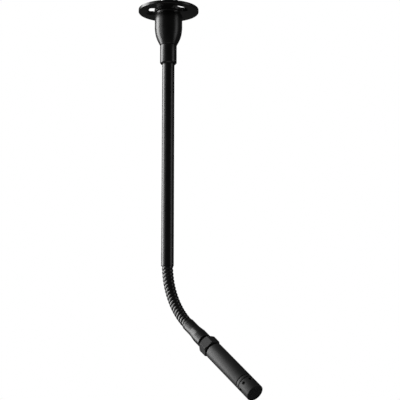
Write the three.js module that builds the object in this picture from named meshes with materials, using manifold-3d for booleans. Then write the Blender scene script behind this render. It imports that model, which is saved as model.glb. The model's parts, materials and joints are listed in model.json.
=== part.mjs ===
// Gooseneck podium microphone that hangs from a round mounting flange.
// Units are millimetres and +Z is up. The origin is the centre of the flange's
// ceiling face. The stem hangs down along -Z, and the neck bends towards +X.
import * as THREE from "three";
import { mergeVertices } from "three/addons/utils/BufferGeometryUtils.js";
import Module from "manifold-3d";

const wasm = await Module();
wasm.setup();

// ---- driving dimensions ------------------------------------------------

const GAP = 0.3; // clearance between neighbouring pieces

// mounting flange
const FLANGE_R = 31.4;
const FLANGE_T = 3.3;
const FLANGE_EDGE = 0.4; // bevel on the lower outer edge
const COLLAR_R = 12.7;
const COLLAR_BOTTOM = -5.95;
const SPIGOT_R = 11.6; // threaded spigot that the bell screws on
const SPIGOT_BOTTOM = -13;
const SLOT_R = 17.8; // radius of the screw slots' centre line
const SLOT_HALF_WIDTH = 3;
const SLOT_SPAN = 30; // degrees between the centres of a slot's round ends
const SLOT_ANGLES = [-3, 117, 237];
const SINK_WIDTH = 3.3; // countersink round each slot on the underside
const SINK_DEPTH = 1.8;
const SINK_INNER_R = 14.3; // where the countersink stops, outside the collar

// bell housing
const BELL_TOP = -6.8;
const BELL_R = 14.33;
const BELL_BOTTOM = -39.2;
const BELL_CURVE = [
  [14.33, -21.2],
  [14.13, -22.8],
  [13.8, -26],
  [13.1, -29.3],
  [12, -32.5],
  [10.53, -35.7],
  [8.83, -39],
];

// sleeve and tube
const SLEEVE_R = 8.65;
const SLEEVE_BOTTOM = -59.4;
const TUBE_R = 6.4;
const TUBE_WALL = 1;
const TUBE_TOP = -27;
const TUBE_BOTTOM = -270.6;

// three-pin connector
const SHELL_R = 9.5;
const SHELL_WALL = 1.3;
const SHELL_TOP = 22;
const SHELL_BOTTOM = -12.5;
const PIN_R = 1.15;
const PIN_CIRCLE_R = 4.2;
const PIN_ANGLES = [90, 210, 330];

// neck
const NECK_BEND = 53.23; // degrees from the stem to the microphone
const NECK_RADIUS = 78.9; // of the bent centre line
const NECK_START = -268; // the bend starts just inside the tube's end
const COILS_START = 2.9; // distance round the bend at which the first coil begins
const COILS = 18;
const COIL_R = 5.7;
const COIL_BORE = 2.75;
const CORE_R = 2.3;
const CORE_BORE = 1.75;
const CABLE_R = 1.3;

// distances along the microphone's axis, from the end of the neck
const FERRULE_START = -1;
const FERRULE_R = 6.3;
const FERRULE_WIDE_R = 7.35;
const FERRULE_CONE = [11.3, 19.5];
const FERRULE_END = 28.7;
const STUD_R = 5;
const STUD_START = 20;
const STUD_END = 51.5;
const THREAD_PITCH = 1;
const NUT_FLATS = 17;
const NUT_START = 32.3;
const NUT_END = 42.6;
const NUT_CORNER = -89.4; // degrees about the axis
const BARREL_R = 8.7;
const BARREL_START = 45.3;
const BARREL_END = 94.9;
const HEAD_START = 95.9;
const HEAD_END = 113.6;
const HEAD_GROOVE = 98.9;
const HEAD_WALL = 1.2;
const VENTS = 7;
const VENT_R = 1.5;
const VENT_AT = 102.6;
const VENT_PHASE = -111.8;

// ---- helpers -----------------------------------------------------------

const radians = THREE.MathUtils.degToRad;

function finish(color, roughness, metalness) {
  return new THREE.MeshStandardMaterial({ color, roughness, metalness });
}

const satinBlack = finish(0x141416, 0.35, 0.6);
const matteBlack = finish(0x1c1c1e, 0.55, 0.4);
const blackCoil = finish(0x161618, 0.4, 0.7);
const satinNickel = finish(0x8f9092, 0.35, 1);
const gold = finish(0xc9a24a, 0.3, 1);
const blackPlastic = finish(0x101010, 0.6, 0);
const greenBoard = finish(0x1d5a34, 0.6, 0);
const steel = finish(0xa5a6a8, 0.35, 1);
const darkRubber = finish(0x121212, 0.8, 0);
const felt = finish(0x222222, 0.95, 0);
const film = finish(0xd8c27a, 0.3, 0.8);

// A solid of revolution about +Z from [radius, z] points in order round the section.
function turned(points, sides) {
  const ring = [...points];
  let area = 0;
  ring.forEach(([r0, z0], i) => {
    const [r1, z1] = ring[(i + 1) % ring.length];
    area += r0 * z1 - r1 * z0;
  });
  if (area < 0) ring.reverse();
  const first = ring.findIndex(([r]) => r === 0);
  if (first < 0) {
    ring.push(ring[0]);
  } else {
    // a solid section starts and ends on the axis
    while (!(ring[0][0] === 0 && ring[ring.length - 1][0] === 0)) {
      ring.push(ring.shift());
    }
  }
  const profile = ring.map(([r, z]) => new THREE.Vector2(r, z));
  return new THREE.LatheGeometry(profile, sides).rotateX(Math.PI / 2);
}

// A straight pipe or, with no bore, a rod.
function pipe(outer, bore, low, high, sides) {
  if (bore === 0) {
    return turned([[0, low], [outer, low], [outer, high], [0, high]], sides);
  }
  return turned([[bore, low], [outer, low], [outer, high], [bore, high]], sides);
}

function solid(geometry) {
  const bare = geometry.clone();
  bare.deleteAttribute("normal");
  bare.deleteAttribute("uv");
  const merged = mergeVertices(bare, 1e-4);
  return new wasm.Manifold(
    new wasm.Mesh({
      numProp: 3,
      vertProperties: new Float32Array(merged.attributes.position.array),
      triVerts: new Uint32Array(merged.index.array),
    }),
  );
}

function geometryOf(manifold) {
  const mesh = manifold.getMesh();
  const g = new THREE.BufferGeometry();
  g.setAttribute("position", new THREE.BufferAttribute(new Float32Array(mesh.vertProperties), 3));
  g.setIndex(new THREE.BufferAttribute(new Uint32Array(mesh.triVerts), 1));
  g.computeVertexNormals();
  return g;
}

function cut(geometry, cutters) {
  let body = solid(geometry);
  for (const cutter of cutters) {
    body = body.subtract(solid(cutter));
  }
  return geometryOf(body);
}

function part(name, geometry, material) {
  const mesh = new THREE.Mesh(geometry, material.clone());
  mesh.name = name;
  return mesh;
}

const microphone = new THREE.Group();

// ---- mounting flange ---------------------------------------------------

// The outline of a slot that follows an arc and has round ends.
function arcSlot(angle, halfWidth) {
  const shape = new THREE.Shape();
  const a0 = radians(angle - SLOT_SPAN / 2);
  const a1 = radians(angle + SLOT_SPAN / 2);
  const end = (a) => [SLOT_R * Math.cos(a), SLOT_R * Math.sin(a)];
  shape.absarc(0, 0, SLOT_R + halfWidth, a0, a1, false);
  shape.absarc(...end(a1), halfWidth, a1, a1 + Math.PI, false);
  shape.absarc(0, 0, SLOT_R - halfWidth, a1, a0, true);
  shape.absarc(...end(a0), halfWidth, a0 + Math.PI, a0 + 2 * Math.PI, false);
  return shape;
}

function slotCutters(angle) {
  const shape = arcSlot(angle, SLOT_HALF_WIDTH);
  const through = new THREE.ExtrudeGeometry(shape, {
    depth: FLANGE_T + 2,
    bevelEnabled: false,
    curveSegments: 6,
  });
  through.translate(0, 0, -FLANGE_T - 1);
  const sink = new THREE.ExtrudeGeometry(shape, {
    depth: 2,
    bevelThickness: SINK_DEPTH,
    bevelSize: SINK_WIDTH,
    bevelSegments: 1,
    curveSegments: 6,
  });
  sink.translate(0, 0, -FLANGE_T - 2);
  const corners = sink.getAttribute("position");
  for (let i = 0; i < corners.count; i += 1) {
    const r = Math.hypot(corners.getX(i), corners.getY(i));
    const grow = Math.max(1, SINK_INNER_R / r);
    corners.setXY(i, corners.getX(i) * grow, corners.getY(i) * grow);
  }
  return [through, sink];
}

const flangeBore = SHELL_R + GAP;
const flangeBlank = turned(
  [
    [flangeBore, 0],
    [FLANGE_R, 0],
    [FLANGE_R, -FLANGE_T + FLANGE_EDGE],
    [FLANGE_R - FLANGE_EDGE, -FLANGE_T],
    [COLLAR_R + 1.3, -FLANGE_T],
    [COLLAR_R + 0.45, -FLANGE_T - 0.4],
    [COLLAR_R, -FLANGE_T - 1.3],
    [COLLAR_R, COLLAR_BOTTOM],
    [SPIGOT_R, COLLAR_BOTTOM],
    [SPIGOT_R, SPIGOT_BOTTOM],
    [flangeBore, SPIGOT_BOTTOM],
  ],
  40,
);
const flange = cut(flangeBlank, SLOT_ANGLES.flatMap(slotCutters));
microphone.add(part("mounting_flange", flange, satinBlack));

// ---- bell housing ------------------------------------------------------

const bellWall = 1.8;
const bellInside = BELL_CURVE.slice(0, 5).map(([r, z]) => [r - bellWall, z]);
const bell = turned(
  [
    [SPIGOT_R + GAP, BELL_TOP],
    [BELL_R - 0.3, BELL_TOP],
    [BELL_R, BELL_TOP - 0.3],
    ...BELL_CURVE,
    [8.75, BELL_BOTTOM],
    [TUBE_R + GAP, BELL_BOTTOM],
    [TUBE_R + GAP, -35],
    ...bellInside.reverse(),
    [SPIGOT_R + GAP, SPIGOT_BOTTOM - 1],
  ],
  32,
);
microphone.add(part("bell_housing", bell, satinBlack));

// ---- sleeve, set screw and tube ----------------------------------------

const sleeveTop = BELL_BOTTOM - GAP;
const screwZ = -50;
const sleeveBlank = turned(
  [
    [TUBE_R + GAP, sleeveTop],
    [SLEEVE_R, sleeveTop],
    [SLEEVE_R, SLEEVE_BOTTOM + 1.4],
    [SLEEVE_R - 1.2, SLEEVE_BOTTOM],
    [TUBE_R + GAP, SLEEVE_BOTTOM],
  ],
  36,
);
// The set screw's hole faces -X, away from the side the neck bends to.
const screwHole = new THREE.CylinderGeometry(1.8, 1.8, 4, 16);
screwHole.rotateZ(Math.PI / 2);
screwHole.translate(-8, 0, screwZ);
microphone.add(part("stem_sleeve", cut(sleeveBlank, [screwHole]), satinBlack));

const socketCut = new THREE.CylinderGeometry(0.9, 0.9, 1.6, 6);
socketCut.translate(0, 0.8, 0);
const setScrew = cut(new THREE.CylinderGeometry(1.5, 1.5, 1.5, 16), [socketCut]);
setScrew.rotateZ(Math.PI / 2);
setScrew.translate(-(TUBE_R + 0.35 + 0.75), 0, screwZ);
microphone.add(part("sleeve_set_screw", setScrew, steel));

const tube = turned(
  [
    [TUBE_R - TUBE_WALL, TUBE_TOP],
    [TUBE_R, TUBE_TOP],
    [TUBE_R, TUBE_BOTTOM + 0.4],
    [TUBE_R - 0.4, TUBE_BOTTOM],
    [TUBE_R - TUBE_WALL, TUBE_BOTTOM],
  ],
  32,
);
microphone.add(part("stem_tube", tube, satinBlack));

const bushR = TUBE_R - TUBE_WALL - GAP;
const bush = pipe(bushR, CORE_R + GAP, TUBE_BOTTOM + 0.3, TUBE_BOTTOM + 9, 20);
microphone.add(part("tube_end_bush", bush, steel));

// ---- connector ---------------------------------------------------------

const shellBore = SHELL_R - SHELL_WALL;
const shellBlank = turned(
  [
    [shellBore, SHELL_BOTTOM],
    [SHELL_R, SHELL_BOTTOM],
    [SHELL_R, SHELL_TOP - 0.5],
    [SHELL_R - 0.5, SHELL_TOP],
    [shellBore + 0.3, SHELL_TOP],
    [shellBore, SHELL_TOP - 0.3],
  ],
  36,
);
// The window that a plug's latch drops into.
const latchWindow = new THREE.BoxGeometry(3.6, 6, 3.4);
latchWindow.translate(0, SHELL_R, 15);
microphone.add(part("connector_shell", cut(shellBlank, [latchWindow]), satinNickel));

const insertBottom = -8;
const insertTop = 3.5;
const insertShape = new THREE.Shape();
insertShape.absarc(0, 0, shellBore - GAP, 0, 2 * Math.PI, false);
for (const angle of PIN_ANGLES) {
  const hole = new THREE.Path();
  const a = radians(angle);
  hole.absarc(PIN_CIRCLE_R * Math.cos(a), PIN_CIRCLE_R * Math.sin(a), PIN_R + GAP, 0, 2 * Math.PI, true);
  insertShape.holes.push(hole);
}
const insert = new THREE.ExtrudeGeometry(insertShape, {
  depth: insertTop - insertBottom,
  bevelEnabled: false,
  curveSegments: 14,
});
insert.translate(0, 0, insertBottom);
microphone.add(part("connector_insert", insert, blackPlastic));

PIN_ANGLES.forEach((angle, i) => {
  const pin = turned(
    [[0, -11], [PIN_R, -11], [PIN_R, 17.4], [PIN_R * 0.8, 18.1], [PIN_R * 0.4, 18.5], [0, 18.6]],
    14,
  );
  pin.translate(PIN_CIRCLE_R * Math.cos(radians(angle)), PIN_CIRCLE_R * Math.sin(radians(angle)), 0);
  microphone.add(part("contact_pin_" + (i + 1), pin, gold));
});

// ---- output board in the bell ------------------------------------------

const boardZ = -15;
const boardDisc = new THREE.Shape();
boardDisc.absarc(0, 0, 11.2, 0, 2 * Math.PI, false);
const cableHole = new THREE.Path();
cableHole.absarc(0, 0, CABLE_R + 0.7, 0, 2 * Math.PI, true);
boardDisc.holes.push(cableHole);
const board = new THREE.ExtrudeGeometry(boardDisc, {
  depth: 1.6,
  bevelEnabled: false,
  curveSegments: 12,
});
board.translate(0, 0, boardZ - 1.6);
microphone.add(part("output_board", board, greenBoard));

const partsTop = boardZ - 1.6 - GAP;
[[7, 0], [-7, 0]].forEach(([x, y], i) => {
  const can = pipe(2.5, 0, partsTop - 6, partsTop, 14);
  can.translate(x, y, 0);
  microphone.add(part("output_capacitor_" + (i + 1), can, blackPlastic));
});
const chip = new THREE.BoxGeometry(6, 4, 1.6);
chip.translate(0, 6.2, partsTop - 0.8);
microphone.add(part("output_chip", chip, blackPlastic));

// ---- the bent neck -----------------------------------------------------

const neckLength = radians(NECK_BEND) * NECK_RADIUS;

// A frame on the neck's centre line, `distance` round the bend: +Z runs along the
// line towards the microphone, and +Y is the axis the neck bends about.
function neckFrame(distance) {
  const a = distance / NECK_RADIUS;
  const frame = new THREE.Group();
  frame.position.set(NECK_RADIUS * (1 - Math.cos(a)), 0, NECK_START - NECK_RADIUS * Math.sin(a));
  frame.rotation.y = Math.PI - a;
  return frame;
}

// One turn of the coil. Its ends slope away from its neighbours, which leaves the
// room that the neck needs to bend.
const pitch = (neckLength + FERRULE_START - COILS_START) / COILS;
const slope = Math.tan(radians(7));
const endAt = (r) => pitch / 2 - 0.14 - r * slope;
const coilSection = [
  [COIL_BORE, endAt(COIL_BORE)],
  [4.8, endAt(4.8)],
  [COIL_R, 0.55],
  [COIL_R, -0.55],
  [4.8, -endAt(4.8)],
  [COIL_BORE, -endAt(COIL_BORE)],
];
for (let i = 0; i < COILS; i++) {
  const frame = neckFrame(COILS_START + pitch * (i + 0.5));
  const name = "neck_coil_" + String(i + 1).padStart(2, "0");
  frame.add(part(name, turned(coilSection, 16), blackCoil));
  microphone.add(frame);
}

// A line that runs straight down the stem, round the bend and on along the
// microphone's axis. Its first and last steps are the straight ends, so all the
// steps between them go round the bend.
class StemLine extends THREE.Curve {
  constructor(start, end, steps) {
    super();
    this.lead = start - NECK_START;
    this.tail = end;
    this.steps = steps;
  }
  distanceAt(t) {
    const k = t * this.steps;
    if (k < 1) {
      return this.lead * (k - 1);
    }
    if (k > this.steps - 1) {
      return neckLength + this.tail * (k - this.steps + 1);
    }
    return (neckLength * (k - 1)) / (this.steps - 2);
  }
  getPoint(t, target = new THREE.Vector3()) {
    const s = this.distanceAt(t);
    const a = Math.min(Math.max(s, 0), neckLength) / NECK_RADIUS;
    const on = s - a * NECK_RADIUS;
    return target.set(
      NECK_RADIUS * (1 - Math.cos(a)) + on * Math.sin(a),
      0,
      NECK_START - NECK_RADIUS * Math.sin(a) - on * Math.cos(a),
    );
  }
  getPointAt(t, target) {
    return this.getPoint(t, target);
  }
  getTangentAt(t, target = new THREE.Vector3()) {
    const step = 1e-5;
    const ahead = this.getPoint(Math.min(t + step, 1));
    const behind = this.getPoint(Math.max(t - step, 0));
    return target.copy(ahead.sub(behind)).normalize();
  }
}

function circleShape(radius, bore) {
  const shape = new THREE.Shape();
  shape.absarc(0, 0, radius, 0, 2 * Math.PI, false);
  if (bore > 0) {
    const hole = new THREE.Path();
    hole.absarc(0, 0, bore, 0, 2 * Math.PI, true);
    shape.holes.push(hole);
  }
  return shape;
}

const CORE_STEPS = 16;
const core = new THREE.ExtrudeGeometry(circleShape(CORE_R, CORE_BORE), {
  extrudePath: new StemLine(TUBE_BOTTOM + 8.5, 14, CORE_STEPS),
  steps: CORE_STEPS,
  curveSegments: 5,
  bevelEnabled: false,
});
microphone.add(part("neck_core", core, steel));

const cable = new THREE.ExtrudeGeometry(circleShape(CABLE_R, 0), {
  extrudePath: new StemLine(boardZ - 0.5, 54, CORE_STEPS),
  steps: CORE_STEPS,
  curveSegments: 4,
  bevelEnabled: false,
});
microphone.add(part("signal_cable", cable, darkRubber));

// ---- ferrule, stud and lock nut ----------------------------------------

const axisFrame = neckFrame(neckLength);
microphone.add(axisFrame);

const ferrule = turned(
  [
    [CORE_R + GAP, FERRULE_START],
    [FERRULE_R - 0.4, FERRULE_START],
    [FERRULE_R, FERRULE_START + 0.4],
    [FERRULE_R, FERRULE_CONE[0]],
    [FERRULE_WIDE_R, FERRULE_CONE[1]],
    [FERRULE_WIDE_R, FERRULE_END - 0.3],
    [FERRULE_WIDE_R - 0.3, FERRULE_END],
    [STUD_R + GAP, FERRULE_END],
    [STUD_R + GAP, STUD_START - GAP],
    [CORE_R + GAP, STUD_START - GAP],
  ],
  28,
);
axisFrame.add(part("neck_ferrule", ferrule, satinBlack));

// The thread is drawn as rings where the stud shows on each side of the nut.
function threadRings(from, to) {
  const points = [];
  for (let a = from; a <= to - THREAD_PITCH + 1e-6; a += THREAD_PITCH) {
    points.push([STUD_R, a], [STUD_R - 0.5, a + THREAD_PITCH / 2]);
  }
  return points;
}
const stud = turned(
  [
    [CABLE_R + 0.5, STUD_START],
    [STUD_R, STUD_START],
    ...threadRings(FERRULE_END - 0.5, NUT_START + 0.6),
    ...threadRings(NUT_END - 0.5, BARREL_START + 0.6),
    [STUD_R, BARREL_START + 1.5],
    [STUD_R, STUD_END],
    [CABLE_R + 0.5, STUD_END],
  ],
  16,
);
axisFrame.add(part("threaded_stud", stud, matteBlack));

// A hexagon with the corners of both ends turned down to a cone.
const cornerR = NUT_FLATS / 2 / Math.cos(Math.PI / 6);
const hexagon = new THREE.CylinderGeometry(cornerR, cornerR, NUT_END - NUT_START, 6);
hexagon.rotateX(Math.PI / 2);
hexagon.translate(0, 0, (NUT_START + NUT_END) / 2);
const nutCone = turned(
  [
    [0, NUT_START],
    [NUT_FLATS / 2 - 0.1, NUT_START],
    [cornerR + 0.2, NUT_START + 0.9],
    [cornerR + 0.2, NUT_END - 0.9],
    [NUT_FLATS / 2 - 0.1, NUT_END],
    [0, NUT_END],
  ],
  36,
);
const nutBore = pipe(STUD_R + GAP, 0, NUT_START - 1, NUT_END + 1, 24);
const nutSolid = solid(hexagon).intersect(solid(nutCone)).subtract(solid(nutBore));
const nut = geometryOf(nutSolid);
nut.rotateZ(radians(NUT_CORNER - 90));
axisFrame.add(part("lock_nut", nut, matteBlack));

// ---- microphone barrel and its board -----------------------------------

const barrelBore = BARREL_R - 1.2;
const barrel = turned(
  [
    [STUD_R + GAP, BARREL_START],
    [BARREL_R - 0.4, BARREL_START],
    [BARREL_R, BARREL_START + 0.4],
    [BARREL_R, BARREL_END - 0.2],
    [BARREL_R - 0.2, BARREL_END],
    [barrelBore, BARREL_END],
    [barrelBore, STUD_END + 1.5],
    [STUD_R + GAP, STUD_END + 1.5],
  ],
  32,
);
axisFrame.add(part("mic_barrel", barrel, matteBlack));

const ampBoard = new THREE.BoxGeometry(11, 1.6, 32);
ampBoard.translate(0, 0, 73);
axisFrame.add(part("amp_board", ampBoard, greenBoard));

const ampChip = new THREE.BoxGeometry(5, 1.5, 6);
ampChip.translate(0, 0.8 + GAP + 0.75, 66);
axisFrame.add(part("amp_chip", ampChip, blackPlastic));

const ampCapacitor = pipe(1.9, 0, 72, 80, 14);
ampCapacitor.translate(0, 0.8 + GAP + 1.9, 0);
axisFrame.add(part("amp_capacitor", ampCapacitor, blackPlastic));

// ---- capsule head ------------------------------------------------------

const headBore = BARREL_R - HEAD_WALL;
const headSpigot = barrelBore - GAP;
const mouthR = headBore + 0.4;
const headBlank = turned(
  [
    [headSpigot - 1, BARREL_END - 5],
    [headSpigot, BARREL_END - 5],
    [headSpigot, HEAD_START],
    [BARREL_R - 0.2, HEAD_START],
    [BARREL_R, HEAD_START + 0.2],
    [BARREL_R, HEAD_GROOVE - 0.5],
    [BARREL_R - 0.45, HEAD_GROOVE - 0.4],
    [BARREL_R - 0.45, HEAD_GROOVE + 0.4],
    [BARREL_R, HEAD_GROOVE + 0.5],
    [BARREL_R, HEAD_END - 0.6],
    [BARREL_R - 0.2, HEAD_END - 0.2],
    [BARREL_R - 0.5, HEAD_END],
    [mouthR, HEAD_END],
    [mouthR, HEAD_END - 1.7],
    [headBore, HEAD_END - 1.7],
    [headBore, HEAD_START + 1.5],
    [headSpigot - 1, HEAD_START + 1.5],
  ],
  32,
);
const ventCutters = [];
for (let i = 0; i < VENTS; i++) {
  const vent = new THREE.CylinderGeometry(VENT_R, VENT_R, 4, 10);
  vent.rotateZ(-Math.PI / 2);
  vent.translate(BARREL_R, 0, VENT_AT);
  vent.rotateZ(radians(VENT_PHASE + (360 / VENTS) * i));
  ventCutters.push(vent);
}
axisFrame.add(part("capsule_head", cut(headBlank, ventCutters), matteBlack));

const ventScreen = pipe(headBore - GAP, headBore - GAP - 0.4, VENT_AT - 3, VENT_AT + 3, 28);
axisFrame.add(part("vent_screen", ventScreen, matteBlack));

// The grille is a disc with rings of round holes.
const grilleR = mouthR - GAP;
const grilleShape = new THREE.Shape();
grilleShape.absarc(0, 0, grilleR, 0, 2 * Math.PI, false);
for (const [count, radius] of [[1, 0], [6, 2.4], [12, 4.8]]) {
  for (let i = 0; i < count; i++) {
    const a = (2 * Math.PI * i) / count;
    const hole = new THREE.Path();
    hole.absarc(radius * Math.cos(a), radius * Math.sin(a), 0.7, 0, 2 * Math.PI, true);
    grilleShape.holes.push(hole);
  }
}
const grilleBack = HEAD_END - 1.7 + GAP;
const grille = new THREE.ExtrudeGeometry(grilleShape, {
  depth: 0.6,
  bevelEnabled: false,
  curveSegments: 5,
});
grille.translate(0, 0, grilleBack);
axisFrame.add(part("front_grille", grille, matteBlack));

const feltFront = grilleBack - GAP;
const feltDisc = pipe(headBore - GAP, 0, feltFront - 1, feltFront, 24);
axisFrame.add(part("acoustic_felt", feltDisc, felt));

// ---- condenser capsule -------------------------------------------------

const caseFront = feltFront - 1 - GAP;
const caseR = headBore - GAP;
const caseBack = caseFront - 4.6;
const capsuleCase = turned(
  [
    [caseR - 0.5, caseBack],
    [caseR, caseBack],
    [caseR, caseFront],
    [caseR - 1.8, caseFront],
    [caseR - 1.8, caseFront - 0.5],
    [caseR - 0.5, caseFront - 0.5],
  ],
  28,
);
axisFrame.add(part("capsule_case", capsuleCase, satinNickel));

const insideR = caseR - 0.5 - GAP;
let level = caseFront - 0.5 - GAP;
function stacked(name, outer, bore, thickness, material) {
  const piece = pipe(outer, bore, level - thickness, level, 24);
  level -= thickness + GAP;
  axisFrame.add(part(name, piece, material));
}
stacked("diaphragm_ring", insideR, insideR - 1, 0.5, gold);
stacked("diaphragm", insideR, 0, 0.2, film);
stacked("back_plate", insideR - 0.5, 0.6, 0.8, gold);
stacked("capsule_insulator", insideR, 1.4, 0.8, blackPlastic);

const contact = pipe(0.9, 0, 90, level, 12);
axisFrame.add(part("spring_contact", contact, gold));

export default microphone;
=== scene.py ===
"""Looks for the gooseneck podium microphone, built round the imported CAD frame."""
import json
import math

import bmesh
import bpy
from mathutils import Matrix, Vector


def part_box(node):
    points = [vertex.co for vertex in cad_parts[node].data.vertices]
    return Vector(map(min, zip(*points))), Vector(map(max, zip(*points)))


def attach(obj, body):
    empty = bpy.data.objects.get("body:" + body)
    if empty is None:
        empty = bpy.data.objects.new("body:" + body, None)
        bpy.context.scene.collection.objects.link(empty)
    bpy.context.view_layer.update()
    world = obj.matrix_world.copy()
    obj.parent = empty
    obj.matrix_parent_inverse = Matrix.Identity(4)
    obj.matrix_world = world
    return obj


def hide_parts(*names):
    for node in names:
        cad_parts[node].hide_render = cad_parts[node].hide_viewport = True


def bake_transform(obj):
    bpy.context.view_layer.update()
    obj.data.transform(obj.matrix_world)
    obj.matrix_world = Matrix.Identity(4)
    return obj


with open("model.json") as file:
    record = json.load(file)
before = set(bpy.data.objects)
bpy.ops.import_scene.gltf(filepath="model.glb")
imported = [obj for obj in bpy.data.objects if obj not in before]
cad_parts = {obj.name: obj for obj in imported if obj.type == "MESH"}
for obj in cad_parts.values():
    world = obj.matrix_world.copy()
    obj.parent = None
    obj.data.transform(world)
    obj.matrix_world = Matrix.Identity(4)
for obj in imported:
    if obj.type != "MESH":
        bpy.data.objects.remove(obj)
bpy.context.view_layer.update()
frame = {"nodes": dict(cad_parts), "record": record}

MM = 0.001
RECORD_SLOTS = {s["node"]: s["material_slot"] for s in frame["record"]["subparts"]}

# ---- sizes in millimetres, as the CAD has them ---------------------------------------

GAP = 0.3  # between pieces that fit into each other

flange_low, flange_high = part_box("mounting_flange")
FLANGE_R = flange_high.x / MM
FLANGE_T = 3.3
COLLAR_R = 12.7
COLLAR_BOTTOM = -5.95
SPIGOT_R = 11.6
SPIGOT_BOTTOM = flange_low.z / MM
SLOT_R = 17.8
SLOT_HALF_WIDTH = 3
SLOT_SPAN = 30
SLOT_ANGLES = (-3, 117, 237)
SINK_WIDTH = 3.3
SINK_DEPTH = 1.8
SINK_INNER_R = 14.3

bell_low, bell_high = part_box("bell_housing")
BELL_TOP = bell_high.z / MM
BELL_BOTTOM = bell_low.z / MM
BELL_CURVE = [
    (14.33, -21.2), (14.13, -22.8), (13.8, -26), (13.1, -29.3),
    (12, -32.5), (10.53, -35.7), (8.83, -39),
]
BELL_R = BELL_CURVE[0][0]
BELL_WALL = 1.8
BELL_MOUTH_R = 8.6
BELL_HOLLOW_END = -35

sleeve_low, sleeve_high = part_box("stem_sleeve")
SLEEVE_R = sleeve_high.x / MM
SLEEVE_TOP = sleeve_high.z / MM
SLEEVE_BOTTOM = sleeve_low.z / MM
SET_SCREW_Z = -50
SET_SCREW_R = 1.8

tube_low, tube_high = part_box("stem_tube")
TUBE_R = tube_high.x / MM
TUBE_WALL = 1
TUBE_TOP = tube_high.z / MM
TUBE_BOTTOM = tube_low.z / MM

shell_low, shell_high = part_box("connector_shell")
SHELL_R = shell_high.x / MM
SHELL_WALL = 1.3
SHELL_TOP = shell_high.z / MM
SHELL_BOTTOM = shell_low.z / MM
PIN_R = 1.15
PIN_CIRCLE_R = 4.2
PIN_ANGLES = (90, 210, 330)
WINDOW_Z = 15  # the latch window in the connector's shell
WINDOW_HALF_WIDTH = 1.8
WINDOW_HALF_HEIGHT = 1.7
INSERT_RIM = 1.6
INSERT_RECESS = 0.35

# Along the neck, distances are measured from NECK_START down its centre line. Past its
# end they are measured from there, along the straight axis of the ferrule and barrel.
NECK_BEND = 53.23
NECK_RADIUS = 78.9
NECK_START = -268
COILS_START = 2.9
COILS = sum(name.startswith("neck_coil_") for name in frame["nodes"])
COIL_R = 5.7
COIL_BORE = 2.75
CORE_R = 2.3
CORE_BORE = 1.75
CABLE_R = 1.3

FERRULE_START = -1
FERRULE_R = 6.3
FERRULE_WIDE_R = 7.35
FERRULE_CONE = (11.3, 19.5)
FERRULE_LINE = (1.9, 2.45)  # a fine turned line round it
FERRULE_END = 28.7
STUD_R = 5
STUD_START = 20
STUD_END = 51.5
THREAD_PITCH = 1
THREAD_DEPTH = 0.55
NUT_FLATS = 17
NUT_START = 32.3
NUT_END = 42.6
NUT_CORNER = -89.4
BARREL_R = 8.7
BARREL_WALL = 1.2
BARREL_START = 45.3
BARREL_END = 94.9
HEAD_START = 95.9
HEAD_END = 113.6
HEAD_GROOVE = 98.9
HEAD_GROOVE_DEPTH = 0.75
HEAD_WALL = 1.2
HEAD_MOUTH = 1.7  # how far the wide mouth goes in, to the grille's seat
GRILLE_T = 0.6
VENTS = 7
VENT_R = 1.5
VENT_AT = 102.6
VENT_PHASE = -111.8

neck_length = math.radians(NECK_BEND) * NECK_RADIUS
coil_pitch = (neck_length + FERRULE_START - COILS_START) / COILS


def shifted(x, y, z):
    """A frame turned as the stem is, at a point in millimetres."""
    return Matrix.Translation(Vector((x, y, z)) * MM)


def polar(r, a, z=0):
    return (r * math.cos(a), r * math.sin(a), z)


def evenly(first, last, steps):
    return [first + (last - first) * i / steps for i in range(steps + 1)]


def neck_frame(distance):
    """The frame on the neck's centre line: +Z along it, +Y the axis that it bends about."""
    a = distance / NECK_RADIUS
    place = Vector((
        NECK_RADIUS * (1 - math.cos(a)), 0, NECK_START - NECK_RADIUS * math.sin(a)
    ))
    return Matrix.Translation(place * MM) @ Matrix.Rotation(math.pi - a, 4, "Y")


STEM = Matrix.Identity(4)
AXIS = neck_frame(neck_length)

# ---- materials -----------------------------------------------------------------------


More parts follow.
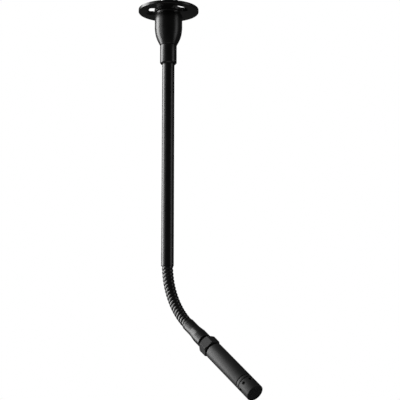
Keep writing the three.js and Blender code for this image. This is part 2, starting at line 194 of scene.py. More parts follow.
class Nodes:
    """A node material, with short calls for the nodes that it is made of."""

    def __init__(self, name):
        self.material = bpy.data.materials.new(name)
        self.material.use_nodes = True
        self.tree = self.material.node_tree
        self.shader = self.tree.nodes["Principled BSDF"]
        self.place = self.add("ShaderNodeTexCoord").outputs["Object"]

    def add(self, kind, inputs=None, **settings):
        node = self.tree.nodes.new(kind)
        for key, value in settings.items():
            setattr(node, key, value)
        for key, value in (inputs or {}).items():
            if isinstance(value, bpy.types.NodeSocket):
                self.tree.links.new(value, node.inputs[key])
            else:
                node.inputs[key].default_value = value
        return node

    def noise(self, size, detail=2.0, roughness=0.5, stretch=None):
        """Noise whose features are about `size` millimetres across."""
        vector = self.place
        if stretch:
            stretched = self.add("ShaderNodeMapping", {"Vector": vector, "Scale": stretch})
            vector = stretched.outputs[0]
        return self.add("ShaderNodeTexNoise", {
            "Vector": vector, "Scale": 1 / (size * MM), "Detail": detail, "Roughness": roughness,
        }).outputs["Fac"]

    def spread(self, value, low, high, start=0.3, end=0.7):
        """A 0 to 1 value, spread from `low` to `high`."""
        return self.add("ShaderNodeMapRange", {
            "Value": value, "From Min": start, "From Max": end, "To Min": low, "To Max": high,
        }).outputs[0]

    def mix(self, factor, first, second):
        """A color between two others, each an (r, g, b) or another node's socket."""
        node = self.add("ShaderNodeMix", data_type="RGBA")
        self.link(factor, node.inputs[0])
        for socket, color in ((node.inputs[6], first), (node.inputs[7], second)):
            if isinstance(color, bpy.types.NodeSocket):
                self.link(color, socket)
            else:
                socket.default_value = (*color, 1)
        return node.outputs[2]

    def link(self, source, socket):
        self.tree.links.new(source, socket)

    def bump(self, height, depth, under=None):
        """A bump `depth` millimetres high, over any bump already made."""
        inputs = {"Height": height, "Distance": depth * MM, "Strength": 1.0}
        if under is not None:
            inputs["Normal"] = under
        return self.add("ShaderNodeBump", inputs).outputs[0]

    def edges(self, start=0.62, end=0.75):
        """1 on sharp outward edges and 0 elsewhere, for wear."""
        sharp = self.add("ShaderNodeNewGeometry").outputs["Pointiness"]
        return self.spread(sharp, 0, 1, start, end)

    def finish(self, color, roughness, metallic=0.0, normal=None, **sockets):
        self.link(color, self.shader.inputs["Base Color"])
        self.link(roughness, self.shader.inputs["Roughness"])
        self.shader.inputs["Metallic"].default_value = metallic
        if normal is not None:
            self.link(normal, self.shader.inputs["Normal"])
        for key, value in sockets.items():
            self.shader.inputs[key.replace("_", " ")].default_value = value
        return self.material


def coat(name, dark, light, rough, grain, depth, worn=None, specular=0.5):
    """A black coat on metal: fine grain, uneven gloss and edges that are a little worn."""
    n = Nodes(name)
    cloud = n.noise(9, 3)
    speck = n.noise(grain, 2)
    color = n.mix(n.spread(cloud, 0, 1), dark, light)
    if worn:
        patch = n.add("ShaderNodeMath", {0: n.edges(), 1: n.spread(n.noise(1.6), 0, 1)},
                      operation="MULTIPLY").outputs[0]
        color = n.mix(patch, color, worn)
    gloss = n.add("ShaderNodeMath", {
        0: n.spread(cloud, rough[0], rough[1]), 1: n.spread(speck, -0.02, 0.02),
    }, operation="ADD").outputs[0]
    return n.finish(color, gloss, 0.0, n.bump(speck, depth), Specular_IOR_Level=specular)


def metal(name, dark, light, rough, lines=(1, 1, 1), depth=0.002):
    """Plated or bare metal with fine lines, drawn out by the stretch `lines`."""
    n = Nodes(name)
    cloud = n.noise(5, 3)
    line = n.noise(0.5, 3, 0.6, lines)
    color = n.mix(n.spread(cloud, 0, 1), dark, light)
    gloss = n.spread(line, *rough)
    return n.finish(color, gloss, 1.0, n.bump(line, depth))


def plastic(name, dark, light, rough, grain=0.35, depth=0.006):
    """Plastic, rubber or cloth: an even color with a fine grain."""
    n = Nodes(name)
    speck = n.noise(grain, 3)
    color = n.mix(n.spread(n.noise(4, 3), 0, 1), dark, light)
    return n.finish(color, n.spread(speck, *rough), 0.0, n.bump(speck, depth))


def grey(value):
    return (value, value, value)


MATERIALS = {
    "satin_black": coat("satin_black", grey(0.004), grey(0.006), (0.27, 0.32), 0.8, 0.0003,
                        worn=grey(0.03)),
    "matte_black": coat("matte_black", grey(0.026), grey(0.031), (0.44, 0.5), 0.3, 0.0004,
                        worn=grey(0.06), specular=0.28),
    "ferrule_black": coat("ferrule_black", grey(0.013), grey(0.016), (0.3, 0.32), 0.5, 0.0003,
                          worn=grey(0.06), specular=0.34),
    "coil_black": coat("coil_black", grey(0.006), grey(0.01), (0.26, 0.34), 0.5, 0.0005,
                       worn=grey(0.04)),
    "nickel": metal("nickel", grey(0.36), grey(0.47), (0.25, 0.38), (1, 1, 6)),
    "steel": metal("steel", grey(0.34), grey(0.5), (0.28, 0.42), (1, 1, 4)),
    "gold": metal("gold", (0.68, 0.46, 0.16), (0.83, 0.6, 0.26), (0.18, 0.3)),
    "grille_black": coat("grille_black", grey(0.012), grey(0.02), (0.4, 0.5), 0.12, 0.001),
    "black_plastic": plastic("black_plastic", grey(0.012), grey(0.02), (0.42, 0.6)),
    "board_green": plastic("board_green", (0.01, 0.09, 0.035), (0.015, 0.13, 0.05), (0.25, 0.4),
                           0.8, 0.003),
    "cable_black": plastic("cable_black", grey(0.012), grey(0.02), (0.55, 0.7), 0.25, 0.01),
    "felt": plastic("felt", grey(0.006), grey(0.03), (0.9, 1.0), 0.12, 0.05),
    "film": metal("film", (0.6, 0.45, 0.18), (0.75, 0.58, 0.26), (0.15, 0.25)),
}

# ---- mesh tools ----------------------------------------------------------------------

LATHE_SIDES = 96
FINE_SIDES = 128
FINEST_SIDES = 160


def quads(first, second, count):
    """Faces between two rings of `count` points, which start at `first` and `second`."""
    return [
        [first + k, first + (k + 1) % count, second + (k + 1) % count, second + k]
        for k in range(count)
    ]


def make(name, verts, faces, place=STEM):
    """A mesh object from points in millimetres in the frame `place`."""
    mesh = bpy.data.meshes.new(name)
    mesh.from_pydata([place @ (Vector(v) * MM) for v in verts], [], faces)
    tidy = bmesh.new()
    tidy.from_mesh(mesh)
    bmesh.ops.recalc_face_normals(tidy, faces=tidy.faces)
    tidy.to_mesh(mesh)
    tidy.free()
    obj = bpy.data.objects.new(name, mesh)
    bpy.context.scene.collection.objects.link(obj)
    return obj


def filleted(points, steps=3):
    """The section with each corner that has a third number, its radius, rounded off."""
    out = []
    count = len(points)
    for i, point in enumerate(points):
        here = Vector(point[:2])
        if len(point) < 3 or point[2] <= 0:
            out.append(tuple(here))
            continue
        before = Vector(points[i - 1][:2]) - here
        after = Vector(points[(i + 1) % count][:2]) - here
        turn = before.angle(after)
        reach = point[2] / math.tan(turn / 2)
        reach = min(reach, 0.48 * before.length, 0.48 * after.length)
        first, last = here + before.normalized() * reach, here + after.normalized() * reach
        for k in range(steps + 1):
            t = k / steps
            out.append(tuple((1 - t) ** 2 * first + 2 * t * (1 - t) * here + t * t * last))
    return out


def lathe(name, points, place=STEM, sides=LATHE_SIDES, steps=3):
    """A closed solid of revolution. Each point is (radius, z) or (radius, z, fillet)."""
    ring = filleted(points, steps)
    verts, rows = [], []
    for r, z in ring:
        if r < 1e-6:
            rows.append([len(verts)] * sides)
            verts.append((0, 0, z))
        else:
            rows.append(list(range(len(verts), len(verts) + sides)))
            verts += [polar(r, 2 * math.pi * k / sides, z) for k in range(sides)]
    faces = []
    for i in range(len(rows)):
        low, high = rows[i], rows[(i + 1) % len(rows)]
        if low[0] == low[1] and high[0] == high[1]:
            continue
        for k in range(sides):
            m = (k + 1) % sides
            corners = [low[k], low[m], high[m], high[k]]
            faces.append(list(dict.fromkeys(corners)))
    return make(name, verts, faces, place)


def cut(obj, cutters):
    """Takes the cutters out of obj, for good."""
    for cutter in cutters:
        step = obj.modifiers.new("cut", "BOOLEAN")
        step.object = cutter
        step.solver = "EXACT"
    graph = bpy.context.evaluated_depsgraph_get()
    mesh = bpy.data.meshes.new_from_object(obj.evaluated_get(graph))
    obj.modifiers.clear()
    obj.data = mesh
    for cutter in cutters:
        bpy.data.objects.remove(cutter)
    mend = bmesh.new()
    mend.from_mesh(mesh)
    bmesh.ops.remove_doubles(mend, verts=mend.verts, dist=2e-7)
    bmesh.ops.dissolve_degenerate(mend, edges=mend.edges, dist=1e-7)
    mend.to_mesh(mesh)
    mend.free()
    return obj


def block(name, low, high):
    """A box with softened edges."""
    verts = [(x, y, z) for x in (low[0], high[0]) for y in (low[1], high[1])
             for z in (low[2], high[2])]
    faces = [(0, 1, 3, 2), (4, 6, 7, 5), (0, 4, 5, 1), (2, 3, 7, 6), (0, 2, 6, 4), (1, 5, 7, 3)]
    obj = make(name, verts, faces)
    shape = bmesh.new()
    shape.from_mesh(obj.data)
    bmesh.ops.bevel(shape, geom=shape.edges, offset=0.3 * MM, segments=3, affect="EDGES")
    shape.to_mesh(obj.data)
    shape.free()
    return obj


def finish_piece(obj, slot, body, nodes, sharp=30, look=None):
    """Shading, material and the frame's bookkeeping for one piece.

    Edges that turn by more than `sharp` degrees stay sharp. `look` names the material
    `look` names the material where it isn't the slot's own. A piece with no body here is not
    attached to one.
    """
    obj.data.materials.clear()
    obj.data.materials.append(MATERIALS[look or slot])
    obj.data.shade_smooth()
    obj.data.set_sharp_from_angle(angle=math.radians(sharp))
    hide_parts(*nodes)
    if body:
        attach(obj, body)
    return obj


def spline(points, steps):
    """A smooth line through the points."""
    out = []
    for i in range(len(points) - 1):
        p1, p2 = Vector(points[i]), Vector(points[i + 1])
        p0 = Vector(points[i - 1]) if i else 2 * p1 - p2
        p3 = Vector(points[i + 2]) if i + 2 < len(points) else 2 * p2 - p1
        for k in range(steps):
            t = k / steps
            out.append(tuple(0.5 * (
                2 * p1 + (p2 - p0) * t + (2 * p0 - 5 * p1 + 4 * p2 - p3) * t * t
                + (3 * p1 - p0 - 3 * p2 + p3) * t ** 3
            )))
    out.append(tuple(points[-1]))
    return out


# ---- mounting flange -----------------------------------------------------------------


def slot_cutter(angle):
    """An arc slot with a countersink on its lower side and softened edges."""
    half = SLOT_HALF_WIDTH
    slope = SINK_WIDTH / SINK_DEPTH
    levels = [  # (half width, height), from below the flange to above it
        (half + SINK_WIDTH + slope, -FLANGE_T - 1.0), (half + SINK_WIDTH + 0.16, -FLANGE_T - 0.06),
        (half + SINK_WIDTH - 0.08, -FLANGE_T + 0.1), (half + 0.08, -FLANGE_T + SINK_DEPTH - 0.05),
        (half, -FLANGE_T + SINK_DEPTH + 0.08), (half, -0.22), (half + 0.2, 0.02), (half + 0.9, 0.7),
    ]
    along, around = 24, 14
    a0, a1 = (math.radians(angle + s * SLOT_SPAN / 2) for s in (-1, 1))
    outline = []  # (angle of a point on the slot's centre line, direction from there)
    outline += [(a, a) for a in evenly(a0, a1, along)]
    outline += [(a1, a) for a in evenly(a1, a1 + math.pi, around)[1:-1]]
    outline += [(a, a + math.pi) for a in evenly(a1, a0, along)]
    outline += [(a0, a) for a in evenly(a0 + math.pi, a0 + 2 * math.pi, around)[1:-1]]
    verts, faces = [], []
    for width, z in levels:
        for centre, out in outline:
            x = SLOT_R * math.cos(centre) + width * math.cos(out)
            y = SLOT_R * math.sin(centre) + width * math.sin(out)
            grow = max(1, SINK_INNER_R / math.hypot(x, y))
            verts.append((x * grow, y * grow, z))
    count = len(outline)
    for i in range(len(levels) - 1):
        faces += quads(i * count, (i + 1) * count, count)
    faces.append(list(range(count)))
    faces.append(list(range((len(levels) - 1) * count, len(levels) * count)))
    return make("slot_cutter", verts, faces)


flange_bore = SHELL_R + GAP
flange = lathe("flange_plate", [
    (flange_bore, 0, 0.2), (FLANGE_R, 0, 0.3),
    (FLANGE_R, -FLANGE_T + 0.4, 0.25), (FLANGE_R - 0.4, -FLANGE_T, 0.25),
    (COLLAR_R + 1.3, -FLANGE_T, 0.4), (COLLAR_R + 0.3, -FLANGE_T - 0.5, 0.6),
    (COLLAR_R, -FLANGE_T - 1.3, 0.6), (COLLAR_R, COLLAR_BOTTOM, 0.2),
    (SPIGOT_R, COLLAR_BOTTOM), (SPIGOT_R, SPIGOT_BOTTOM, 0.3), (flange_bore, SPIGOT_BOTTOM, 0.2),
], sides=FINEST_SIDES)
cut(flange, [slot_cutter(angle) for angle in SLOT_ANGLES])
finish_piece(flange, "satin_black", "stem", ["mounting_flange"])

# ---- bell housing, sleeve and tube ---------------------------------------------------

bell_steps = 5
above_curve = (BELL_R, -20)  # on the straight wall, so that the curve starts upright
bell_outside = spline([above_curve, *BELL_CURVE], bell_steps)[bell_steps:]
bell_inside = [(r - BELL_WALL, z) for r, z in spline(BELL_CURVE[:5], 3)]
bell = lathe("bell_cover", [
    (SPIGOT_R + GAP, BELL_TOP), (BELL_R, BELL_TOP, 0.45), (BELL_R, -14), *bell_outside,
    (BELL_MOUTH_R, BELL_BOTTOM, 0.1), (TUBE_R + GAP, BELL_BOTTOM),
    (TUBE_R + GAP, BELL_HOLLOW_END), *bell_inside[::-1], (SPIGOT_R + GAP, SPIGOT_BOTTOM - 1),
], sides=FINE_SIDES)
finish_piece(bell, "satin_black", "stem", ["bell_housing"])

screw_rings = [(SLEEVE_R, SET_SCREW_Z + rise) for rise in (3, 0, -3)]
sleeve = lathe("sleeve_ring", [
    (TUBE_R + GAP, SLEEVE_TOP), (SLEEVE_R, SLEEVE_TOP, 0.15), *screw_rings,
    (SLEEVE_R, SLEEVE_BOTTOM + 1.4, 0.35), (SLEEVE_R - 1.2, SLEEVE_BOTTOM, 0.2),
    (TUBE_R + GAP, SLEEVE_BOTTOM, 0.1),
], sides=FINE_SIDES)
facing_back = Matrix.Rotation(-math.pi / 2, 4, "Y")
screw_hole = lathe("hole_cutter", [
    (0, -3), (SET_SCREW_R, -3), (SET_SCREW_R, 1.55), (SET_SCREW_R + 0.25, 1.9),
    (SET_SCREW_R + 0.8, 2.6), (0, 2.6),
], shifted(-SLEEVE_R + 1.7, 0, SET_SCREW_Z) @ facing_back, sides=32)
cut(sleeve, [screw_hole])
finish_piece(sleeve, "satin_black", "stem", ["stem_sleeve"])

tube = lathe("stem_pipe", [
    (TUBE_R - TUBE_WALL, TUBE_TOP), (TUBE_R, TUBE_TOP, 0.2), (TUBE_R, -60),
    (TUBE_R, TUBE_BOTTOM, 0.35), (TUBE_R - TUBE_WALL, TUBE_BOTTOM, 0.15),
])
finish_piece(tube, "satin_black", "stem", ["stem_tube"])

# ---- connector -----------------------------------------------------------------------

shell_bore = SHELL_R - SHELL_WALL
shell = lathe("plug_shell", [
    (shell_bore, SHELL_BOTTOM), (SHELL_R, SHELL_BOTTOM, 0.2),
    *[(SHELL_R, WINDOW_Z + rise) for rise in (-3, -1, 1, 3)],
    (SHELL_R, SHELL_TOP, 0.45), (shell_bore, SHELL_TOP, 0.35),
    (shell_bore, WINDOW_Z + 1), (shell_bore, WINDOW_Z - 3),
])
cut(shell, [block(
    "window_cutter", (-WINDOW_HALF_WIDTH, SHELL_R - 3, WINDOW_Z - WINDOW_HALF_HEIGHT),
    (WINDOW_HALF_WIDTH, SHELL_R + 3, WINDOW_Z + WINDOW_HALF_HEIGHT),
)])
finish_piece(shell, "nickel", "stem", ["connector_shell"])


def pin_place(angle):
    return shifted(*polar(PIN_CIRCLE_R, math.radians(angle)))


insert_low, insert_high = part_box("connector_insert")
insert_bottom, insert_top = insert_low.z / MM, insert_high.z / MM
insert_r = shell_bore - GAP
insert = lathe("pin_insert", [
    (0, insert_bottom), (insert_r, insert_bottom, 0.2), (insert_r, insert_top, 0.4),
    (insert_r - INSERT_RIM, insert_top), (insert_r - INSERT_RIM - 0.1, insert_top - INSERT_RECESS),
    (0, insert_top - INSERT_RECESS),
])
cut(insert, [
    lathe("hole_cutter", [
        (0, insert_bottom - 1), (PIN_R + GAP, insert_bottom - 1),
        (PIN_R + GAP, insert_top + 1), (0, insert_top + 1),
    ], pin_place(angle), sides=32) for angle in PIN_ANGLES
])
finish_piece(insert, "black_plastic", "stem", ["connector_insert"])

for i, angle in enumerate(PIN_ANGLES, 1):
    pin_low, pin_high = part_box(f"contact_pin_{i}")
    top = pin_high.z / MM
    pin = lathe(f"pin_{i}", [
        (0, pin_low.z / MM), (PIN_R, pin_low.z / MM, 0.2), (PIN_R, top - 1.2, 0.5),
        (PIN_R * 0.72, top - 0.35, 0.4), (PIN_R * 0.3, top), (0, top),
    ], pin_place(angle), sides=40, steps=4)
    finish_piece(pin, "gold", "stem", [f"contact_pin_{i}"], sharp=50)

# ---- neck ----------------------------------------------------------------------------

RIDGE_DEPTH = 0.75
RIDGE_ROUNDNESS = 2.6
RIDGE_STEPS = 14
NECK_SIDES = 80
ROOT_R = 5.15  # the neck's plain end, inside the tube
ROOT_START = 0.6
RIDGES_START = NECK_START - TUBE_BOTTOM + 0.05
STEP_LENGTH = 0.02  # from the plain end up to the ridges


def coil_radius(distance, angle):
    """The neck's outside: one rounded ridge to each pitch, winding right-handed."""
    if distance < RIDGES_START - STEP_LENGTH / 2:
        return ROOT_R
    turn = distance / coil_pitch - angle / (2 * math.pi)
    off = abs(2 * (turn - math.floor(turn)) - 1)
    return COIL_R - RIDGE_DEPTH * off ** RIDGE_ROUNDNESS


def neck_rings(distances, radius_at):
    """Points round the neck's centre line at each distance, in millimetres."""
    points = []
    for distance in distances:
        place = neck_frame(distance)
        for k in range(NECK_SIDES):
            a = 2 * math.pi * k / NECK_SIDES
            points.append(place @ (Vector(polar(radius_at(distance, a), a)) * MM) / MM)
    return points


def swept(name, distances, radius_at, bore):
    """A closed pipe along the neck's centre line, or a rod if the bore is 0."""
    verts = neck_rings(distances, radius_at)
    faces = []
    outside = range(0, len(verts), NECK_SIDES)
    for low, high in zip(outside, outside[1:]):
        faces += quads(low, high, NECK_SIDES)
    if bore:
        bore_steps = 4
        first = len(verts)
        verts += neck_rings(evenly(distances[0], distances[-1], bore_steps), lambda d, a: bore)
        inside = range(first, len(verts), NECK_SIDES)
        for low, high in zip(inside, inside[1:]):
            faces += quads(low, high, NECK_SIDES)
        for outer, hole in ((outside[0], inside[0]), (outside[-1], inside[-1])):
            faces += quads(outer, hole, NECK_SIDES)
    else:
        faces += [list(range(end, end + NECK_SIDES)) for end in (outside[0], outside[-1])]
    return make(name, verts, faces)


def coil_middle(k):
    """How far along the neck the middle of turn k is, counting from 1."""
    return COILS_START + coil_pitch * (k - 0.5)


chain = ["stem"] + [f"neck_link_{k:02d}" for k in range(2, COILS)] + ["neck_end"]
BLEND_MARGIN = 0.3
FAR_BODY_FIRST = {5}  # joints whose body and point lists run from the far body back; nothing reads the lists


def bend(piece, k):
    """Bakes the placement into a piece of the neck at the joint between turns k and k + 1; the
    bodies and points worked out here are not used.
    """
    bodies = [chain[k - 1], chain[k]]
    points = [tuple(neck_frame(distance).translation) for distance in (
        coil_middle(k) + BLEND_MARGIN, coil_middle(k + 1) - BLEND_MARGIN)]
    if k in FAR_BODY_FIRST:
        bodies.reverse()
        points.reverse()
    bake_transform(piece)


for k in range(1, COILS):
    start, end = coil_middle(k), coil_middle(k + 1)
    distances = evenly(start, end, RIDGE_STEPS)
    nodes = [f"neck_coil_{k:02d}"]
    if k == 1:
        lead = evenly(RIDGES_START, start, 8)[:-1]
        distances = [ROOT_START, RIDGES_START - STEP_LENGTH, *lead, *distances]
    if k == COILS - 1:
        before_ferrule = neck_length + FERRULE_START - STEP_LENGTH
        distances += evenly(end, before_ferrule, 7)[1:]
        nodes.append(f"neck_coil_{COILS:02d}")
    turn = swept(f"coil_turn_{k:02d}", distances, coil_radius, COIL_BORE)
    finish_piece(turn, "coil_black", None, nodes, sharp=50)
    bend(turn, k)

# ---- ferrule and threaded stud -------------------------------------------------------

line_low, line_high = FERRULE_LINE
line_r = FERRULE_R - 0.16
ferrule = lathe("neck_ferrule_cover", [
    (CORE_R + GAP, FERRULE_START), (FERRULE_R - 0.15, FERRULE_START, 0.3),
    (FERRULE_R, FERRULE_START + 0.6, 0.2), (FERRULE_R, line_low, 0.1),
    (line_r, line_low + 0.15), (line_r, line_high - 0.15), (FERRULE_R, line_high, 0.1),
    (FERRULE_R, FERRULE_CONE[0], 0.12), (FERRULE_WIDE_R, FERRULE_CONE[1], 0.12),
    (FERRULE_WIDE_R, FERRULE_END, 0.35), (STUD_R + GAP, FERRULE_END, 0.15),
    (STUD_R + GAP, STUD_START - GAP), (CORE_R + GAP, STUD_START - GAP),
], AXIS, sides=FINEST_SIDES)
finish_piece(ferrule, "matte_black", "neck_end", ["neck_ferrule"], sharp=4, look="ferrule_black")


def threaded(name, low, high, radius, bore, spans):
    """A rod with a real helical thread over each span, and a bore."""
    sides = 64
    step = THREAD_PITCH / 8  # between rings on the thread
    plain_step = 2.5  # between rings elsewhere
    levels = [low]
    z = low + step
    while z < high - step / 2:
        on_thread = any(a - 1 <= z <= b + 1 for a, b in spans)
        if on_thread or z - levels[-1] > plain_step:
            levels.append(z)
        z += step
    levels.append(high)
    angles = [2 * math.pi * k / sides for k in range(sides)]
    verts, faces = [], []
    for z in levels:
        deep = max((min(1, max(0, min(z - a, b - z) / THREAD_PITCH)) for a, b in spans))
        for k, angle in enumerate(angles):
            phase = z / THREAD_PITCH - k / sides
            tooth = abs(2 * (phase - math.floor(phase)) - 1)
            r = radius - THREAD_DEPTH * deep * min(1, max(0, 1.35 * tooth - 0.15))
            verts.append(polar(r, angle, z))
    for z in (low, high):
        verts += [polar(bore, angle, z) for angle in angles]
    count = len(levels)
    for i in range(count - 1):
        faces += quads(i * sides, (i + 1) * sides, sides)
    top, bore_low, bore_high = (i * sides for i in (count - 1, count, count + 1))
    for first, second in ((bore_low, bore_high), (0, bore_low), (top, bore_high)):
        faces += quads(first, second, sides)
    return make(name, verts, faces, AXIS)


stud_bore = CABLE_R + 0.5
stud = threaded("stud_thread", STUD_START, STUD_END, STUD_R, stud_bore, [
    (FERRULE_END - 1.2, NUT_START + 1.5), (NUT_END - 1.5, BARREL_START + 1.2),
])
finish_piece(stud, "matte_black", "neck_end", ["threaded_stud"], sharp=60)

# ---- lock nut ------------------------------------------------------------------------


def hexagon_outline(flats, corner_radius):
    """Points round a hexagon with rounded corners, as (radius, angle) from a corner on +X."""
    corner = (flats / 2 - corner_radius) / math.cos(math.pi / 6)
    outline = []
    for i in range(6):
        at = math.radians(60 * i)
        centre = Vector(polar(corner, at))
        next_centre = Vector(polar(corner, at + math.radians(60)))
        arc = evenly(at - math.radians(30), at + math.radians(30), 5)
        outline += [centre + Vector(polar(corner_radius, a)) for a in arc]
        offset = Vector(polar(corner_radius, arc[-1]))
        outline += [centre.lerp(next_centre, t) + offset for t in evenly(0, 1, 8)[1:-1]]
    return [(math.hypot(p.x, p.y), math.atan2(p.y, p.x)) for p in outline]


def hex_nut(name, low, high, flats, bore):
    """A hexagon nut with a turned chamfer at both ends."""
    soft = 0.35  # the rounding of its corners and of the bore's ends
    chamfer = 0.9
    outline = hexagon_outline(flats, soft)
    end_r = flats / 2 - 0.15
    slope = chamfer / (flats / 2 / math.cos(math.pi / 6) + 0.2 - end_r)
    verts, faces = [], []
    for r, a in outline:
        drop = (r - end_r) * slope
        section = [
            (bore + soft, low), (end_r - 0.25, low), (end_r, low + 0.04), (r, low + drop + 0.05),
            (r, low + drop + 0.35), (r, high - drop - 0.35), (r, high - drop - 0.05),
            (end_r, high - 0.04), (end_r - 0.25, high), (bore + soft, high),
            (bore, high - soft), (bore, low + soft),
        ]
        verts += [polar(q, a, z) for q, z in section]
    count = len(section)
    for here in range(0, len(verts), count):
        faces += quads(here, (here + count) % len(verts), count)
    place = AXIS @ Matrix.Rotation(math.radians(NUT_CORNER), 4, "Z")
    return make(name, verts, faces, place)


nut = hex_nut("hex_nut", NUT_START, NUT_END, NUT_FLATS, STUD_R + GAP)
finish_piece(nut, "matte_black", "lock_nut", ["lock_nut"], sharp=20)

# ---- microphone barrel and capsule head ----------------------------------------------

barrel_bore = BARREL_R - BARREL_WALL
barrel_step = STUD_END + 1.5  # the end of the narrow bore that holds the stud
barrel = lathe("barrel_tube", [
    (STUD_R + GAP, BARREL_START, 0.2), (BARREL_R, BARREL_START, 0.4),
    (BARREL_R, BARREL_END, 0.15), (barrel_bore, BARREL_END, 0.1),
    (barrel_bore, barrel_step), (STUD_R + GAP, barrel_step),
], AXIS, sides=FINE_SIDES)
finish_piece(barrel, "matte_black", "microphone", ["mic_barrel"])

head_bore = BARREL_R - HEAD_WALL
spigot = barrel_bore - GAP
mouth_r = head_bore + 0.4
groove_r = BARREL_R - HEAD_GROOVE_DEPTH
vent_rings = [(BARREL_R, VENT_AT + 0.6 * k) for k in range(-4, 5)]
head = lathe("head_shell", [
    (spigot - 1, BARREL_END - 5), (spigot, BARREL_END - 5, 0.2), (spigot, HEAD_START),
    (BARREL_R, HEAD_START, 0.15), (BARREL_R, HEAD_GROOVE - 0.5, 0.08),
    (groove_r, HEAD_GROOVE - 0.4, 0.1), (groove_r, HEAD_GROOVE + 0.4, 0.1),
    (BARREL_R, HEAD_GROOVE + 0.5, 0.08), *vent_rings, (BARREL_R, HEAD_END, 0.5),
    (mouth_r, HEAD_END, 0.15), (mouth_r, HEAD_END - HEAD_MOUTH),
    (head_bore, HEAD_END - HEAD_MOUTH),
    (head_bore, HEAD_START + 1.5), (spigot - 1, HEAD_START + 1.5),
], AXIS, sides=FINEST_SIDES)
vent_cutters = []
for i in range(VENTS):
    place = (AXIS @ Matrix.Rotation(math.radians(VENT_PHASE + 360 / VENTS * i), 4, "Z")
             @ shifted(BARREL_R, 0, VENT_AT)
             @ Matrix.Rotation(math.pi / 2, 4, "Y"))
    vent_cutters.append(lathe("vent_cutter", [
        (0, -2), (VENT_R, -2), (VENT_R, -0.3), (VENT_R + 0.12, 0.0), (VENT_R + 0.8, 0.9), (0, 0.9),
    ], place, sides=36))
cut(head, vent_cutters)
finish_piece(head, "matte_black", "microphone", ["capsule_head"])

# ---- woven front grille --------------------------------------------------------------

WIRE_R = 0.13
WIRE_PITCH = 0.62
WIRE_SIDES = 6
RIM_WIDTH = 0.75
grille_low = HEAD_END - HEAD_MOUTH + GAP
grille_high = grille_low + GRILLE_T
grille_r = mouth_r - GAP


def wire(verts, faces, line):
    """Adds a closed wire along the line, with flat ends."""
    first = len(verts)
    for i, here in enumerate(line):
        ahead = line[min(i + 1, len(line) - 1)] - line[max(i - 1, 0)]
        along = ahead.normalized()
        across = along.cross(Vector((0, 0, 1))).normalized()
        up = across.cross(along)
        for k in range(WIRE_SIDES):
            a = 2 * math.pi * k / WIRE_SIDES
            verts.append(here + (across * math.cos(a) + up * math.sin(a)) * WIRE_R)
    last = len(verts) - WIRE_SIDES
    for low in range(first, last, WIRE_SIDES):
        faces += quads(low, low + WIRE_SIDES, WIRE_SIDES)
    faces += [list(range(end, end + WIRE_SIDES)) for end in (first, last)]


def woven_disc(name, radius, z):
    """Two sets of wires that pass over and under each other, out to the radius."""
    verts, faces = [], []
    count = int(radius / WIRE_PITCH)
    for turned_over in (0, 1):
        for i in range(-count, count + 1):
            off = i * WIRE_PITCH
            reach = math.sqrt(max(0, radius ** 2 - off ** 2))
            if reach < 1:
                continue
            steps = max(6, int(2 * reach / WIRE_PITCH * 4))
            line = []
            for t in evenly(-reach, reach, steps):
                side = 1 if (i + turned_over) % 2 else -1
                up = side * WIRE_R * math.cos(math.pi * t / WIRE_PITCH)
                point = (off, t) if turned_over else (t, off)
                line.append(Vector((*point, z + up)))
            wire(verts, faces, line)
    return make(name, verts, faces, AXIS)


mesh_r = grille_r - 0.45  # its edge is inside the rim
mesh_disc = woven_disc("grille_mesh", mesh_r, (grille_low + grille_high) / 2)
finish_piece(mesh_disc, "grille_black", "microphone", ["front_grille"], sharp=60)
rim = lathe("grille_rim", [
    (grille_r - RIM_WIDTH, grille_low, 0.12), (grille_r, grille_low, 0.12),
    (grille_r, grille_high, 0.12), (grille_r - RIM_WIDTH, grille_high, 0.2),
], AXIS)
finish_piece(rim, "grille_black", "microphone", ["front_grille"], sharp=50)

# ---- neck core and signal cable ------------------------------------------------------


def straight_rod(name, outer, bore, low, high, place):
    points = [(bore, low), (outer, low, 0.1), (outer, high, 0.1), (bore, high)]
    return lathe(name, points, place, sides=32)


CORE_UP = TUBE_BOTTOM + 8.5  # how high the core goes inside the tube
INNER_OVERLAP = 2.2  # how far the upper rods go into the neck
stem_side = shifted(0, 0, NECK_START) @ Matrix.Rotation(math.pi, 4, "Y")
board_low, board_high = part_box("output_board")
cable_up = board_high.z / MM - 0.5

rods = (
    ("core_top", "neck_core", NECK_START - CORE_UP, INNER_OVERLAP, "stem"),
    ("core_end", "neck_core", FERRULE_START - 0.5, 14, "neck_end"),
    ("cable_top", "signal_cable", NECK_START - cable_up, INNER_OVERLAP, "stem"),
    ("cable_end", "signal_cable", -1.5, 47, "neck_end"),
    ("cable_tail", "signal_cable", 47.2, 54, "microphone"),
)
INNER_LINES = {  # node: (slot, radius, bore)
    "neck_core": ("steel", CORE_R, CORE_BORE),
    "signal_cable": ("cable_black", CABLE_R, 0),
}
for name, node, low, high, body in rods:
    slot, outer, bore = INNER_LINES[node]
    rod = straight_rod(name, outer, bore, low, high, stem_side if body == "stem" else AXIS)
    finish_piece(rod, slot, body, [node], sharp=38)


def inner_pieces(label, node):
    """The part of the core or cable inside the neck, one piece to each joint."""
    slot, radius, bore = INNER_LINES[node]
    for k in range(1, COILS):
        start, end = coil_middle(k), coil_middle(k + 1)
        first = INNER_OVERLAP + 0.1 if k == 1 else start
        final = neck_length - 1.6 if k == COILS - 1 else end
        distances = sorted({first, *evenly(start, end, 6), final})
        piece = swept(f"{label}_{k:02d}", distances, lambda d, a: radius, bore)
        finish_piece(piece, slot, None, [node], sharp=50)
        bend(piece, k)


inner_pieces("core_turn", "neck_core")
inner_pieces("cable_run", "signal_cable")

# ---- CAD nodes that stay as they are -------------------------------------------------

for name, node in frame["nodes"].items():
    if not node.hide_render:
        slot = RECORD_SLOTS[name]
        node.data.materials.clear()
        node.data.materials.append(MATERIALS[slot])

# ---- camera, light and floor ---------------------------------------------------------

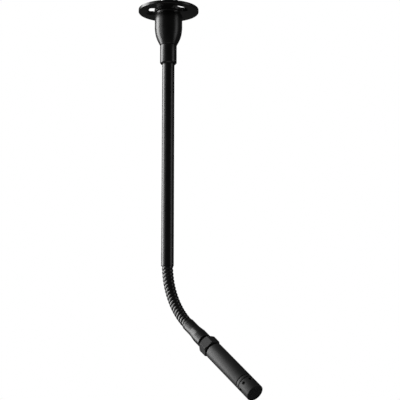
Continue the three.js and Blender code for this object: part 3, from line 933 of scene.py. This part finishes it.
CAMERA_AZIMUTH = 47
CAMERA_PITCH = 10
TARGET = Vector((22.4, 24.1, -202.6)) * MM
DISTANCE = 1.275
FOCAL_LENGTH = 112.5
SENSOR_WIDTH = 36

az, up = math.radians(CAMERA_AZIMUTH), math.radians(CAMERA_PITCH)
forward = Vector((-math.sin(az) * math.cos(up), math.cos(az) * math.cos(up), math.sin(up)))
right = Vector((math.cos(az), math.sin(az), 0))
camera_data = bpy.data.cameras.new("camera")
camera_data.lens = FOCAL_LENGTH
camera_data.sensor_width = SENSOR_WIDTH
camera = bpy.data.objects.new("camera", camera_data)
bpy.context.scene.collection.objects.link(camera)
turned = Matrix((right, right.cross(forward), -forward)).transposed().to_4x4()
camera.matrix_world = Matrix.Translation(TARGET - forward * DISTANCE) @ turned
bpy.context.scene.camera = camera


def softbox(name, round_from_camera, height, width, tall, power, distance=1.4, aim=-0.2):
    """A soft light, `round_from_camera` degrees to the right of the camera, in metres."""
    a = math.radians(round_from_camera)
    level = Vector((-forward.x, -forward.y, 0)).normalized()
    way = level * math.cos(a) + right * math.sin(a)
    light = bpy.data.lights.new(name, "AREA")
    light.shape = "RECTANGLE"
    light.size, light.size_y = width, tall
    light.energy = power
    lamp = bpy.data.objects.new(name, light)
    lamp.location = way * distance + Vector((0, 0, height))
    lamp.rotation_mode = "QUATERNION"
    lamp.rotation_quaternion = (lamp.location - Vector((0, 0, aim))).to_track_quat("Z", "Y")
    lamp.visible_camera = False
    bpy.context.scene.collection.objects.link(lamp)


softbox("left_box", -101, 0.18, 0.9, 2.0, 50)
softbox("left_fill", -64, 0.0, 0.4, 1.3, 2.5)
softbox("right_box", 72, -0.1, 0.55, 1.3, 2.6)
softbox("low_box", 0, -0.85, 0.7, 0.7, 0.5, distance=0.3, aim=-0.1)

BACKDROP = 1.0  # what the camera sees behind the object
AMBIENT = 0.05  # what the world lights the object with
world = bpy.data.worlds.new("studio")
bpy.context.scene.world = world
world.use_nodes = True
tree = world.node_tree
tree.nodes.clear()
output = tree.nodes.new("ShaderNodeOutputWorld")
mix = tree.nodes.new("ShaderNodeMixShader")
path = tree.nodes.new("ShaderNodeLightPath")
tree.links.new(path.outputs["Is Camera Ray"], mix.inputs[0])
for socket, strength in ((mix.inputs[1], AMBIENT), (mix.inputs[2], BACKDROP)):
    background = tree.nodes.new("ShaderNodeBackground")
    background.inputs["Color"].default_value = (1, 1, 1, 1)
    background.inputs["Strength"].default_value = strength
    tree.links.new(background.outputs[0], socket)
tree.links.new(mix.outputs[0], output.inputs[0])
bpy.context.scene.view_settings.view_transform = "Standard"

FLOOR_Z = -0.95
FLOOR_R = 40
FLOOR_GLOW = 0.45
floor_mesh = bpy.data.meshes.new("floor")
floor_mesh.from_pydata(
    [(x * FLOOR_R, y * FLOOR_R, FLOOR_Z) for x, y in ((-1, -1), (1, -1), (1, 1), (-1, 1))],
    [], [(0, 1, 2, 3)],
)
floor = bpy.data.objects.new("floor", floor_mesh)
bpy.context.scene.collection.objects.link(floor)
floor_look = Nodes("pale_floor")
floor_look.finish(
    floor_look.mix(floor_look.noise(300), grey(0.78), grey(0.82)),
    floor_look.spread(floor_look.noise(200), 0.7, 0.8),
    Emission_Strength=FLOOR_GLOW, Emission_Color=(1, 1, 1, 1),
)
floor.visible_glossy = False
floor.visible_diffuse = False
floor_mesh.materials.append(floor_look.material)
